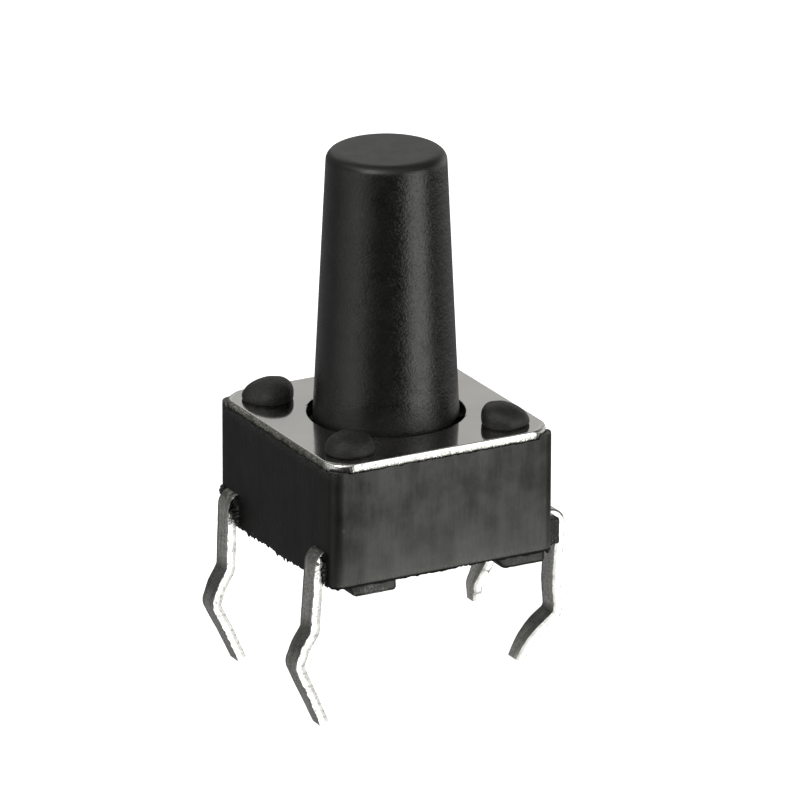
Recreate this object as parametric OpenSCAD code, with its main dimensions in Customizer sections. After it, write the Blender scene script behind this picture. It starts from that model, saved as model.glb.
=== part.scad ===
// Tactile push button switch, through-hole, 6 x 6 mm square with a tall tapered stem.
// Millimetres, +Z up. Z = 0 is the plane of the feet, where the switch sits on its board.
// X runs across the board from one row of pins to the other; the two lead frames lie along X.

/* [Overall] */
// Height from the board to the top of the stem: the usual sizes run from 5 to 13
overall_h = 10.0; // [5:0.5:13]
// Width and depth of the square housing
body_w = 6.0; // [5.8:0.1:7.4]
// Radius of the housing's upright corners
body_r = 0.3; // [0.1:0.05:0.4]

/* [Base moulding] */
// Height of the moulding, from its underside to the face under the cover
base_h = 2.83; // [2.7:0.01:3.6]
// Thickness of the cavity floor, with the leads flush in its top
floor_t = 0.83; // [0.7:0.01:1.0]
// Height of the four feet that lift the moulding off the board
foot_h = 0.32; // [0.2:0.02:0.6]
// Length of a foot along X
foot_l = 1.02; // [0.6:0.02:1.2]
// Depth of a foot along Y
foot_d = 0.8; // [0.4:0.05:1.0]
// Distance between the middles of the two feet on a side
foot_pitch = 4.04; // [3.6:0.02:4.4]
// Setback of each foot from the housing's side face
foot_inset = 0.07; // [0:0.01:0.2]
// Width of the boss that fills the space behind each pin's leg
boss_w = 1.0; // [0.7:0.05:1.3]
// How far a boss stays short of the leg
boss_gap = 0.03; // [0.01:0.01:0.1]
// How far a boss's top stays below the cavity floor
boss_drop = 0.17; // [0.02:0.01:0.2]
// Height of the webs that stand at the housing's corners, beside the cover
web_h = 0.13; // [0.05:0.01:0.2]

/* [Heat-staked posts] */
// Distance from the housing's face to the middle of each corner post
post_inset = 0.9; // [0.85:0.01:1.0]
// Diameter of a post where it passes through the cover
post_d = 0.85; // [0.6:0.05:0.95]
// How far the melted head reaches past its post all round
head_over = 0.185; // [0.1:0.005:0.25]
// Height of a melted head above the cover
head_h = 0.5; // [0.3:0.02:0.6]
// Gap around a post in its hole in the cover
post_gap = 0.05; // [0.02:0.01:0.08]

/* [Cover plate] */
// Thickness of the metal cover
cover_t = 0.25; // [0.15:0.05:0.4]
// Setback of the cover's edge from the housing's faces
cover_inset = 0.02; // [0.01:0.01:0.08]
// Radius of the cover's corners
cover_r = 0.6; // [0.5:0.05:0.8]

/* [Stem] */
// Diameter of the stem level with the cover's top face
stem_d = 3.53; // [3.0:0.01:3.8]
// Draft of the stem's side, in degrees from upright
stem_draft = 2.8; // [0:0.1:3]
// Radius around the stem's top edge
stem_edge_r = 0.27; // [0.1:0.01:0.5]
// Gap around the stem in the cover's hole
stem_gap = 0.135; // [0.08:0.005:0.2]
// Gap around the stem's flange in the cavity
flange_gap = 0.15; // [0.08:0.01:0.25]
// How far the flange reaches past the cover's hole, which keeps the stem in
flange_lip = 0.3; // [0.2:0.01:0.35]
// Width of the two ears that stop the stem from turning
ear_w = 1.0; // [0.6:0.05:1.4]
// How far an ear stands out of the flange
ear_out = 0.25; // [0.15:0.01:0.3]
// Diameter of the nub that presses the dome
nub_d = 1.2; // [0.8:0.05:1.6]
// Height of the nub under the flange
nub_h = 0.45; // [0.4:0.01:0.6]
// Free play of the stem under the cover and over the dome
play = 0.02; // [0.01:0.01:0.05]
// Travel of the stem until the dome closes the contacts
travel = 0.25; // [0.15:0.01:0.28]

/* [Snap dome] */
// Gap between the dome's rim and the front lead frame's bar
rim_gap = 0.075; // [0.05:0.005:0.15]
// Height of the dome's underside over the floor at its middle
dome_rise = 0.35; // [0.3:0.01:0.45]
// Thickness of the dome's sheet
dome_t = 0.08; // [0.06:0.01:0.1]

/* [Lead frames] */
// Thickness of the lead strip
lead_t = 0.24; // [0.2:0.01:0.3]
// Width of the lead strip
lead_w = 0.55; // [0.4:0.05:0.7]
// Distance between the two lead frames, middle to middle
pin_pitch = 4.5; // [4.4:0.1:5.0]
// Distance from the housing's face to the strip's inner side at its shoulder
lead_gap = 0.155; // [0.15:0.005:0.25]
// How far the lead frames and feet sit off the housing's middle along X
shift_x = 0.15; // [0:0.01:0.15]
// Inside radius of every bend in the strip
bend_r = 0.15; // [0.1:0.01:0.25]
// Width that a pin loses at its cut end, all of it from its back side
tip_cut = 0.14; // [0.02:0.01:0.2]
// Length of the tail over which a pin narrows
tip_len = 0.8; // [0.3:0.05:1.0]
// Front left pin: lengths of its leg, kink, tail and tip between bend points
fl_run = [1.91, 0.91, 0.96, 0.73];
// Front left pin: lean of each length from straight down, away from the housing
fl_lean = [4, 27.8, -24, -22];
// Back left pin: lengths of its leg, kink, tail and tip
bl_run = [1.84, 0.95, 0.8, 0.83];
// Back left pin: lean of each length
bl_lean = [2, 25.5, -27, -23];
// Front right pin, bent in under the housing: lengths of its leg, kink, tail and tip
fr_run = [1.82, 0.69, 1.15, 0.39];
// Front right pin: lean of each length
fr_lean = [-3.7, 4.3, -50, -24.5];
// Back right pin: lengths of its leg, kink, tail and tip
br_run = [1.9, 0.96, 0.88, 0.4];
// Back right pin: lean of each length
br_lean = [3.7, 33.4, -28.6, 0];
// Diameter of the raised middle contact
contact_d = 1.1; // [0.8:0.05:1.4]
// Depth of the strip to the middle contact below the floor
neck_drop = 0.15; // [0.1:0.01:0.18]
// Width of the strip that runs to the middle contact
neck_w = 0.6; // [0.4:0.05:0.8]
// Width of each of the two tabs under the dome's rim
tab_w = 0.7; // [0.5:0.05:0.9]
// Distance between the middles of the two rim tabs
tab_pitch = 2.4; // [2.0:0.1:2.6]
// How far the rim tabs reach in past the dome's rim
tab_reach = 0.37; // [0.2:0.01:0.5]

/* [Hidden] */
$fn = 48;
z_under = foot_h;                    // underside of the base moulding
z_floor = z_under + floor_t;         // cavity floor, top of the lead strips
z_top = z_under + base_h;            // face that the cover lies on
z_cover = z_top + cover_t;           // cover's top face
half = body_w / 2;
post_xy = half - post_inset;
hole_d = stem_d + 2 * stem_gap;      // stem's hole in the cover
flange_d = hole_d + 2 * flange_lip;
cavity_d = flange_d + 2 * flange_gap;
dome_d = pin_pitch - lead_w - 2 * rim_gap;    // between the two lead frames' bars
head_d = post_d + 2 * head_over;
boss_h = floor_t - boss_drop;
web_in = half - 0.6 * cover_r;       // inner sides of the corner webs
lead_out = lead_gap + lead_t / 2;    // housing's face to the strip's middle line
contact_rise = dome_rise - travel - play;    // the dome closes on it at full travel
tab_y = sqrt(pow(dome_d / 2, 2) - pow(tab_pitch / 2, 2)) - tab_reach;
strip_z = z_floor - lead_t / 2;      // middle of the strip inside the floor
bend_mid = bend_r + lead_t / 2;      // radius of a bend's middle line
dome_ball = (pow(dome_d / 2, 2) + pow(dome_rise, 2)) / (2 * dome_rise);
dome_top = z_floor + dome_rise + dome_t;
z_nub = dome_top + play;
z_flange = z_top - play;             // flange's top face
bend_step = 9;                       // largest turn of one flat step in a bend, in degrees
bite = 0.1;                          // how far joined shapes run into each other

// ---- shared shapes ----

// Square with round corners, about the middle
module round_square(w, r) {
    square([w, w - 2 * r], center = true);
    square([w - 2 * r, w], center = true);
    for (sx = [-1, 1], sy = [-1, 1])
        translate([sx * (w / 2 - r), sy * (w / 2 - r)]) circle(r);
}

// Repeats its children at the four corner posts
module at_posts() {
    for (sx = [-1, 1], sy = [-1, 1]) translate([sx * post_xy, sy * post_xy, 0]) children();
}

// Round body with two opposite ears on Y, for the flange and for the cavity around it
module eared_disc(d, w, reach) {
    circle(d = d);
    square([w, 2 * reach], center = true);
}

// ---- bent strip ----

// Unit vector at an angle from +X
function dir(angle) = [cos(angle), sin(angle)];

// Corner where straight number i of the strip's middle line ends
function corner(run, lean, i) =
    (i == 0 ? [0, 0] : corner(run, lean, i - 1)) + run[i] * dir(lean[i] - 90);

// Arc of the strip's left (s = 1) or right (s = -1) side, where its middle line, heading at
// angle head, turns by a degrees at the point at
function bend_side(at, head, a, s) =
    let (
        k = sign(a),
        middle = at - bend_mid * tan(abs(a) / 2) * dir(head) + k * bend_mid * dir(head + 90),
        steps = ceil(abs(a) / bend_step)
    )
    [for (j = [0:1:steps]) if (a != 0)
        middle + (k * bend_mid - s * lead_t / 2) * dir(head - 90 + a * j / steps)];

// One side of the strip, from its start at the origin to its cut end
function strip_side(run, lean, s) =
    let (n = len(run), over = s * lead_t / 2)
    concat(
        [over * dir(lean[0])],
        [for (i = [0:1:n - 2], p = bend_side(corner(run, lean, i), lean[i] - 90,
                                             lean[i + 1] - lean[i], s)) p],
        [corner(run, lean, n - 1) + over * dir(lean[n - 1])]
    );

// Edge view of a bent strip: straights of the given runs between the corners of its middle line.
// lean is each one's angle from straight down, so 90 heads straight out.
module strip_edge(run, lean) {
    left = strip_side(run, lean, 1);
    right = strip_side(run, lean, -1);
    polygon(concat(left, [for (i = [len(right) - 1:-1:0]) right[i]]));
}

// Half a lead frame: the strip from the middle of the housing out to a shoulder, then down
module lead_half(out, leg_run, leg_lean) {
    run = concat([out], leg_run);
    lean = concat([90], leg_lean);
    last = len(run) - 1;
    translate([0, 0, strip_z]) rotate([90, 0, 0]) difference() {
        linear_extrude(lead_w, center = true) strip_edge(run, lean);
        // the end narrows from its back side
        translate(corner(run, lean, last)) rotate([0, 0, lean[last] - 90]) rotate([90, 0, 0])
            linear_extrude(2 * lead_t, center = true) polygon([
                [0, tip_cut - lead_w / 2], [-tip_len, -lead_w / 2], [-tip_len, -lead_w],
                [bite, -lead_w], [bite, tip_cut * (1 + bite / tip_len) - lead_w / 2]
            ]);
    }
}

// A lead frame's bar and its two pins, left (-X) and right (+X)
module lead_pair(left_run, left_lean, right_run, right_lean) {
    lead_half(half + lead_out + shift_x, right_run, right_lean);
    mirror([1, 0, 0]) lead_half(half + lead_out - shift_x, left_run, left_lean);
}

// ---- pieces ----

// Front lead frame: its strip dips under the dome's rim and rises to the middle contact
module lead_front() {
    neck_top = z_floor - neck_drop;
    color("silver") union() {
        translate([0, -pin_pitch / 2, 0]) lead_pair(fl_run, fl_lean, fr_run, fr_lean);
        translate([-neck_w / 2, -pin_pitch / 2 - lead_w / 2, neck_top - lead_t])
            cube([neck_w, pin_pitch / 2 + lead_w / 2, lead_t]);
        translate([0, 0, neck_top - lead_t])
            cylinder(h = lead_t + neck_drop + contact_rise, d = contact_d);
    }
}

// Back lead frame: two tabs reach in under the dome's rim
module lead_back() {
    color("silver") union() {
        translate([0, pin_pitch / 2, 0]) lead_pair(bl_run, bl_lean, br_run, br_lean);
        for (s = [-1, 1])
            translate([s * tab_pitch / 2 - tab_w / 2, tab_y, z_floor - lead_t])
                cube([tab_w, pin_pitch / 2 + lead_w / 2 - tab_y, lead_t]);
    }
}

// One post, which goes through the cover, with its melted head
module post_and_head() {
    ball = (pow(head_d / 2, 2) + pow(head_h, 2)) / (2 * head_h);
    translate([0, 0, z_top - bite]) cylinder(h = cover_t + 2 * bite, d = post_d);
    translate([0, 0, z_cover]) rotate_extrude() intersection() {
        translate([0, head_h - ball]) circle(ball);
        square([head_d, head_h]);
    }
}

// Four feet that lift the moulding off the board
module feet() {
    for (sx = [-1, 1], sy = [-1, 1]) translate([
        shift_x + sx * foot_pitch / 2 - foot_l / 2,
        sy * (half - foot_inset - foot_d / 2) - foot_d / 2,
        0
    ]) cube([foot_l, foot_d, foot_h + bite]);
}

// A boss behind each pin's leg, where the leg stands clear of the housing's face
module root_bosses() {
    for (sx = [-1, 1]) {
        out = lead_gap + sx * shift_x - boss_gap;
        if (out > 0) translate([0, 0, z_under]) linear_extrude(boss_h) intersection() {
            for (sy = [-1, 1]) translate([sx * (half + out / 2 - bite), sy * pin_pitch / 2])
                square([out + 2 * bite, boss_w], center = true);
            square([body_w + 2 * out, body_w], center = true);
        }
    }
}

// Upright webs at the housing's corners, outside the cover's rounder corners
module corner_webs() {
    translate([0, 0, z_top - bite]) linear_extrude(bite + web_h) difference() {
        intersection() {
            round_square(body_w, body_r);
            for (sx = [-1, 1], sy = [-1, 1])
                translate([sx * (half + web_in) / 2, sy * (half + web_in) / 2])
                    square(half - web_in, center = true);
        }
        round_square(body_w, cover_r + cover_inset);
    }
}

// Base moulding: walls, floor, feet, bosses, webs and posts in one, moulded around both lead frames
module base() {
    color("dimgray") difference() {
        union() {
            translate([0, 0, z_under]) linear_extrude(base_h) round_square(body_w, body_r);
            at_posts() post_and_head();
            feet();
            root_bosses();
            corner_webs();
        }
        translate([0, 0, z_floor]) linear_extrude(base_h)
            eared_disc(cavity_d, ear_w + 2 * flange_gap, cavity_d / 2 + ear_out);
        lead_front();
        lead_back();
    }
}

// Metal cover with the stem's hole and four post holes
module cover() {
    color("gainsboro") translate([0, 0, z_top]) difference() {
        linear_extrude(cover_t) round_square(body_w - 2 * cover_inset, cover_r);
        translate([0, 0, -bite]) {
            cylinder(h = cover_t + 2 * bite, d = hole_d);
            at_posts() cylinder(h = cover_t + 2 * bite, d = post_d + 2 * post_gap);
        }
    }
}

// Stem: tapered actuator, flange with two ears under the cover, and the nub on the dome
module stem() {
    edge_z = overall_h - stem_edge_r;              // height of the edge radius's middle
    r_at = stem_d / 2 - (edge_z - z_cover) * tan(stem_draft);
    edge_x = r_at - stem_edge_r / cos(stem_draft);
    touch = [edge_x + stem_edge_r * cos(stem_draft), edge_z + stem_edge_r * sin(stem_draft)];
    low_r = stem_d / 2 + (z_cover - z_flange + bite) * tan(stem_draft);
    color("black") union() {
        rotate_extrude() {
            polygon([
                [0, z_flange - bite], [low_r, z_flange - bite], touch,
                [edge_x, edge_z], [edge_x, overall_h], [0, overall_h]
            ]);
            translate([edge_x, edge_z]) intersection() {
                circle(stem_edge_r);
                polygon([
                    [0, 0], 3 * [cos(stem_draft), sin(stem_draft)], [3, 3], [0, 3]
                ]);
            }
        }
        translate([0, 0, z_nub + nub_h]) linear_extrude(z_flange - z_nub - nub_h)
            eared_disc(flange_d, ear_w, flange_d / 2 + ear_out);
        translate([0, 0, z_nub]) cylinder(h = nub_h + bite, d = nub_d);
    }
}

// Snap dome: thin sheet of spherical shape, its rim on the floor and on the two rim tabs
module snap_dome() {
    color("lightgray") translate([0, 0, z_floor]) rotate_extrude() intersection() {
        translate([0, dome_rise - dome_ball]) difference() {
            circle(dome_ball + dome_t, $fn = 96);
            circle(dome_ball, $fn = 96);
        }
        square([dome_d / 2, dome_rise + dome_t]);
    }
}

base();
cover();
stem();
snap_dome();
lead_front();
lead_back();
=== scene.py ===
import math

import bmesh
import bpy
import numpy as np
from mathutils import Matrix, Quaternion, Vector


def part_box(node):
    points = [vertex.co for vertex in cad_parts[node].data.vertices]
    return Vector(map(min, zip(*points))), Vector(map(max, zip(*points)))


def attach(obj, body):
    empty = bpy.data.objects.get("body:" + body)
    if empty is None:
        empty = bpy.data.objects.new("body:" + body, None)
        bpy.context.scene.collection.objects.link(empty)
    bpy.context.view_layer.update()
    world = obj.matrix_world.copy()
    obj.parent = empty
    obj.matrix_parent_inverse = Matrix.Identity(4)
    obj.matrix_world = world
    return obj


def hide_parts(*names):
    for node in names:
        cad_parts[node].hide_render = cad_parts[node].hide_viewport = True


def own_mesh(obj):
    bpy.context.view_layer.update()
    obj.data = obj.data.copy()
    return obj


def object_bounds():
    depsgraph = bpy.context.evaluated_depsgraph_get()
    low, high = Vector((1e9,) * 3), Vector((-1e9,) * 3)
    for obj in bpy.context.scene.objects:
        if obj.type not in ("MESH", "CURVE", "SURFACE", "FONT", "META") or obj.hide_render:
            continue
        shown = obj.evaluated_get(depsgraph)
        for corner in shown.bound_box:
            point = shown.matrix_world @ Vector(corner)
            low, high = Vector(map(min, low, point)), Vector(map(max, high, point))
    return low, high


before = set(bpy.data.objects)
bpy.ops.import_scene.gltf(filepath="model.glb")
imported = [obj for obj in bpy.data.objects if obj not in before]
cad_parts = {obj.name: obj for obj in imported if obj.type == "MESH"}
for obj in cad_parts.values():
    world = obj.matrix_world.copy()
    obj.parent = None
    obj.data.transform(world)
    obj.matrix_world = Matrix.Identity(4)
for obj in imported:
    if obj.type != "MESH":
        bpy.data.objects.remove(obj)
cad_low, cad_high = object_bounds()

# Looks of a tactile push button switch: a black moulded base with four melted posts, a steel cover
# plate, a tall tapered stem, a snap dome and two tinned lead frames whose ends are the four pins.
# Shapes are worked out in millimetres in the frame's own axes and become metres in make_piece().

MM = 0.001
TINY = 1e-9
SHARP_ANGLE = 38                    # degrees between faces past which an edge is drawn sharp


def corners(node):
    """Lowest and highest corner of a CAD node, in millimetres."""
    low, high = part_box(node)
    return np.array(low) / MM, np.array(high) / MM


# ---- sizes that the frame gives ----
base_high = corners("base")[1]
cover_low, cover_high = corners("cover")
stem_low, stem_high = corners("stem")
dome_low, dome_high = corners("snap_dome")
front_low, front_high = corners("lead_front")
back_high = corners("lead_back")[1]

HALF = base_high[1]                 # middle to the housing's side
Z_TOP = cover_low[2]                # face under the cover
Z_COVER = cover_high[2]             # cover's top face
COVER_HALF = cover_high[0]
Z_FLOOR = dome_low[2]               # cavity floor
Z_NUB = stem_low[2]                 # underside of the stem's nub
STEM_TOP = stem_high[2]
FLANGE_R = stem_high[0]
EAR_REACH = stem_high[1]
DOME_R = dome_high[0]
BOSS_REACH = base_high[0]           # outer face of the two bosses on +X

# ---- sizes of the base ----
SHIFT_X = 0.15                      # lead frames sit this far towards +X
FOOT_H = 0.32
FOOT = (1.14, 0.8)                  # length along X, depth along Y
FOOT_EDGE_R = 0.085
FOOT_PITCH = 4.04
FOOT_SHIFT = SHIFT_X + 0.04         # feet sit this far towards +X
FOOT_INSET = 0.07
FOOT_RAMP = (0.28, 0.33)            # how far the left and right feet slope out towards -X
BODY_R = 0.3
BOSS_W = 1.0
BOSS_TOP = 0.98
WEB_H = 0.13                        # corner webs, above the face under the cover
POST_XY = HALF - 0.9
POST_R = 0.425
POST_HOLE_R = POST_R + 0.05
POST_FOOT = 2.9                     # height inside the housing from which a post is drawn
FLANGE_GAP = 0.15                   # cavity round the stem's flange

# ---- sizes of the cover ----
COVER_R = 0.6
ROLL = 0.035                        # die roll along the cover's top edge
CORNER_ROLL = 2.4                   # share that it grows by at the corners

# ---- sizes of the stem ----
HOLE_R = 1.9                        # stem's hole in the cover
STEM_R = HOLE_R - 0.135             # level with the cover's top
DRAFT = 2.8                         # lean of the side, in degrees
STEM_EDGE_R = 0.27
NUB_R = 0.6
FLANGE_Z = (2.05, 3.13)
EAR_HALF = 0.5                      # half the width of the flange's two ears
CHAMFER = 0.05                      # on the nub's and the flange's edges

# ---- sizes of the snap dome ----
DOME_T = 0.08

# ---- sizes of the lead frames ----
STRIP_T = 0.24
STRIP_W = 0.55
STRIP_EDGE_R = 0.01
BEND_R = 0.15 + STRIP_T / 2         # at the strip's middle
STRIP_Z = Z_FLOOR - STRIP_T / 2
SHOULDER = HALF + 0.275             # middle of the strip where it turns down
FRONT_Y = front_low[1] + STRIP_W / 2
BACK_Y = back_high[1] - STRIP_W / 2
# each pin: lengths between its bend points, and each length's lean from straight down, in degrees
FRONT_LEFT = ([1.91, 0.45, 0.46, 0.96, 0.73], [4, 34, 21.7, -24, -22])
BACK_LEFT = ([1.84, 0.47, 0.48, 0.8, 0.83], [2, 31.5, 19.6, -27, -23])
FRONT_RIGHT = ([1.82, 0.69, 0.13, 0.32, 0.3, 0.27, 0.29, 0.27], [-3.7, 4.3, -22, -55, -52, -46, -38, -31])
BACK_RIGHT = ([1.9, 0.96, 0.88, 0.4], [3.7, 33.4, -28.6, 0])
TIP_CUT = 0.18                      # width lost at a pin's end, on its back side
TIP_LEN = 1.0
KNEES = (-0.8, -1.25)               # heights between which the -X pins slope outwards
TAIL_TOP = -1.45                    # height at which the front right pin turns in
STRIP_STEP = 0.04                   # between a strip's loops, five times as much inside the housing
BEND_STEP = 0.03                    # and along its bends
WANDER = (0.15, 0.006)              # knot spacing and size of the cut sides' wander
CUT_ROUGH = 0.0025                  # and of their fine roughness
NECK_TOP = Z_FLOOR - 0.15           # neck that carries the middle contact: top, half width and end in Y
NECK_HALF = 0.3
NECK_END = 0.2
CONTACT_R = 0.55
TAB_X = 1.2                         # tabs under the dome's rim: middle in X, half width and end in Y
TAB_HALF = 0.35
TAB_END = 1.1


# ---- camera ----
AZIMUTH, ELEVATION, CAMERA_ROLL = -28.25, 19.8, 0.1
DISTANCE = 220.0
FIELD = 19.21                       # width seen at the cover's top, in millimetres
SHIFT = (0.0175, 0.0131)


def direction(azimuth, elevation):
    """Unit vector from the middle towards a place round it: azimuth 0 is at -Y and 90 at +X."""
    a, e = math.radians(azimuth), math.radians(elevation)
    return Vector((math.sin(a) * math.cos(e), -math.cos(a) * math.cos(e), math.sin(e)))


def make_camera():
    """Camera that looks at the middle of the cover's top face."""
    data = bpy.data.cameras.new("camera")
    data.lens = data.sensor_width * DISTANCE / FIELD
    data.shift_x, data.shift_y = SHIFT
    data.clip_start, data.clip_end = 0.01, 10
    camera = bpy.data.objects.new("camera", data)
    back = direction(AZIMUTH, ELEVATION)
    camera.location = Vector((0, 0, Z_COVER * MM)) + back * DISTANCE * MM
    camera.rotation_mode = "QUATERNION"
    roll = Quaternion((0, 0, 1), math.radians(CAMERA_ROLL))
    camera.rotation_quaternion = (-back).to_track_quat("-Z", "Y") @ roll
    bpy.context.scene.collection.objects.link(camera)
    bpy.context.scene.camera = camera


make_camera()


# ---- surfaces ----

def turn(points, k):
    """Points turned k quarter turns about Z."""
    c, s = [(1, 0), (0, 1), (-1, 0), (0, -1)][k % 4]
    out = np.array(points, float)
    out[:, 0], out[:, 1] = c * points[:, 0] - s * points[:, 1], s * points[:, 0] + c * points[:, 1]
    return out


def rounded_rect(half_u, half_v, r, per_u, per_v, per_arc):
    """Closed outline of a rectangle with round corners, anticlockwise from the +u side: each straight
    side is cut into per_u or per_v equal steps and each corner arc into per_arc."""
    u, v = half_u - r, half_v - r
    arc = np.linspace(0, math.pi / 2, per_arc + 1)[1:-1]
    sides = [
        (np.full(per_v + 1, half_u), np.linspace(-v, v, per_v + 1), u, v, 0),
        (np.linspace(u, -u, per_u + 1), np.full(per_u + 1, half_v), -u, v, 1),
        (np.full(per_v + 1, -half_u), np.linspace(v, -v, per_v + 1), -u, -v, 2),
        (np.linspace(-u, u, per_u + 1), np.full(per_u + 1, -half_v), u, -v, 3),
    ]
    parts = []
    for side_u, side_v, arc_u, arc_v, k in sides:
        a = arc + k * math.pi / 2
        parts.append(np.column_stack([side_u, side_v]))
        parts.append(np.column_stack([arc_u + r * np.cos(a), arc_v + r * np.sin(a)]))
    return np.concatenate(parts)


def square_reach(angles, half, r):
    """Distance from the middle of a square with round corners to its edge, at each angle: the half
    width over the larger cosine, or on a corner the far crossing of the ray and the arc's circle."""
    cos, sin = np.abs(np.cos(angles)), np.abs(np.sin(angles))
    c, s = np.maximum(cos, sin), np.minimum(cos, sin)
    k = half - r
    side = half / c
    root = (k * (c + s)) ** 2 - 2 * k ** 2 + r ** 2
    arc = k * (c + s) + np.sqrt(np.maximum(root, 0))
    return np.where(side * s > k, arc, side)


def ring(r, n):
    """n points round a circle of radius r."""
    t = np.linspace(0, 2 * math.pi, n, endpoint=False)
    return np.column_stack([r * np.cos(t), r * np.sin(t)])


def stack(*steps):
    """Loops made of steps, each a flat outline and its height: one number, or one for each point."""
    return [np.column_stack([outline, np.broadcast_to(z, len(outline))]) for outline, z in steps]


def ragged(n, step, seed, power=1.0):
    """n values from 0 to 1 round a closed outline: random knots every step places, raised to a power
    so that few stand out, and joined by straight lines."""
    knots = np.random.default_rng(seed).random(max(3, round(n / step))) ** power
    stations = np.linspace(0, n, len(knots) + 1)
    return np.interp(np.arange(n), stations, np.append(knots, knots[0]))


def skin(loops, start="pole", end="pole", finishes=0):
    """Surface through a stack of loops with the same number of points: point j of one loop joins point
    j of the next. Each end is closed with a pole at its loop's middle, or left open to be welded.
    finishes is the material of the bands between loops: one number, one per band or one per quad."""
    grid = np.array(loops, float)
    rows, n = grid.shape[:2]
    ids = np.arange(rows * n).reshape(rows, n)
    ahead = np.roll(ids, -1, axis=1)
    quads = np.stack([ids[:-1], ahead[:-1], ahead[1:], ids[1:]], axis=-1).reshape(-1, 4)
    finishes = np.array(finishes)
    if finishes.ndim == 1:
        finishes = finishes[:, None]
    band = np.broadcast_to(finishes, (rows - 1, n)).ravel()
    points, fans, fan_finish = [grid.reshape(-1, 3)], [], []
    total = rows * n
    for kind, row, flip, at in ((start, 0, True, 0), (end, rows - 1, False, -1)):
        if kind == "pole":
            points.append(grid[row].mean(axis=0)[None])
            a, b = ids[row], ahead[row]
            fan = [b, a] if flip else [a, b]
            fans.append(np.column_stack([*fan, np.full(n, total)]))
            fan_finish.append(np.full(n, band[at]))
            total += 1
    return np.concatenate(points), [quads, *fans], np.concatenate([band, *fan_finish])


def slab(low, high, r=0.03, rough=0.0, seed=0, finish=0, ramp=0.0):
    """Flat block between two corners, whose edges are quarter circles: at an angle a round them a loop
    is drawn in by r (1 - cos a) and shifted by r sin a. rough moves each point by that much at most,
    and ramp slopes the -X end outwards by that much from bottom to top."""
    low, high = np.array(low, float), np.array(high, float)
    middle, half = (low + high) / 2, (high - low) / 2
    rng = np.random.default_rng(seed)
    flat = [(a, (half[2] - r) * math.copysign(1, a)) for a in np.linspace(-math.pi / 2, -0.01, 5)]
    sides = [(0.0, z) for z in np.linspace(-1, 1, 9)[1:-1] * (half[2] - r)]
    top = [(-a, -z) for a, z in flat[::-1]]
    loops = []
    for a, z in flat + sides + top:
        inset = r * (1 - math.cos(a))
        corner = max(r - inset, 0.002) + 0.01
        outline = rounded_rect(half[0] - inset, half[1] - inset, corner, 8, 8, 4)
        loop = stack((outline, z + r * math.sin(a)))[0]
        up = (loop[:, 2] + half[2]) / (2 * half[2])
        loop[:, 0] -= ramp * up * (1 - loop[:, 0] / half[0]) / 2
        loops.append(loop + rough * rng.uniform(-1, 1, loop.shape) + middle)
    return skin(loops, finishes=finish)


def make_piece(name, body, node, parts, materials, weld=0.0):
    """One object made of surfaces, in place, that stands for a CAD node and moves with a body."""
    points, faces, finishes, count = [], [], [], 0
    for part_points, part_faces, part_finish in parts:
        points.append(part_points)
        for group in part_faces:
            faces += (group + count).tolist()
        finishes.append(part_finish)
        count += len(part_points)
    mesh = bpy.data.meshes.new(name)
    mesh.from_pydata((np.concatenate(points) * MM).tolist(), [], faces)
    for material in materials:
        mesh.materials.append(material)
    mesh.polygons.foreach_set("material_index", np.concatenate(finishes).astype(np.int32))
    bm = bmesh.new()
    bm.from_mesh(mesh)
    if weld:
        bmesh.ops.remove_doubles(bm, verts=bm.verts, dist=weld * MM)
    bmesh.ops.recalc_face_normals(bm, faces=bm.faces)
    bm.to_mesh(mesh)
    bm.free()
    mesh.polygons.foreach_set("use_smooth", np.ones(len(mesh.polygons), bool))
    mesh.set_sharp_from_angle(angle=math.radians(SHARP_ANGLE))
    obj = bpy.data.objects.new(name, mesh)
    bpy.context.scene.collection.objects.link(obj)
    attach(obj, body)
    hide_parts(node)
    return obj


# ---- node helpers ----

def add(tree, kind, inputs=None, **settings):
    """New node of a kind. settings are its properties, and inputs gives sockets, by name or number, a
    value or another node's output."""
    made = tree.nodes.new(kind)
    for key, value in settings.items():
        setattr(made, key, value)
    for key, value in (inputs or {}).items():
        if isinstance(value, bpy.types.NodeSocket):
            tree.links.new(value, made.inputs[key])
        else:
            made.inputs[key].default_value = value
    return made


def maths(tree, operation, *values):
    """Result of one calculation on outputs or numbers."""
    made = add(tree, "ShaderNodeMath", dict(enumerate(values)), operation=operation)
    return made.outputs[0]


def times(tree, total, *others):
    """Product of values."""
    for other in others:
        total = maths(tree, "MULTIPLY", total, other)
    return total


def most(tree, total, *others):
    """Largest of values."""
    for other in others:
        total = maths(tree, "MAXIMUM", total, other)
    return total


def add_up(tree, *weighted, plus=0.0):
    """Sum of values, each times its weight, and of a number."""
    total = None
    for value, weight in weighted:
        part = times(tree, value, weight)
        total = part if total is None else maths(tree, "ADD", total, part)
    return maths(tree, "ADD", total, plus) if plus else total


def span(tree, value, low, high, to_low=0.0, to_high=1.0):
    """A value's range from low to high carried to another range, and held at its ends."""
    sockets = {"Value": value, "From Min": low, "From Max": high, "To Min": to_low, "To Max": to_high}
    return add(tree, "ShaderNodeMapRange", sockets).outputs[0]


def tint(tree, share, color_a, color_b):
    """Mix of two colours: each is a colour output or three numbers."""
    a, b = [c if isinstance(c, bpy.types.NodeSocket) else (*c, 1) for c in (color_a, color_b)]
    return add(tree, "ShaderNodeMix", {0: share, 6: a, 7: b}, data_type="RGBA").outputs[2]


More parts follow.
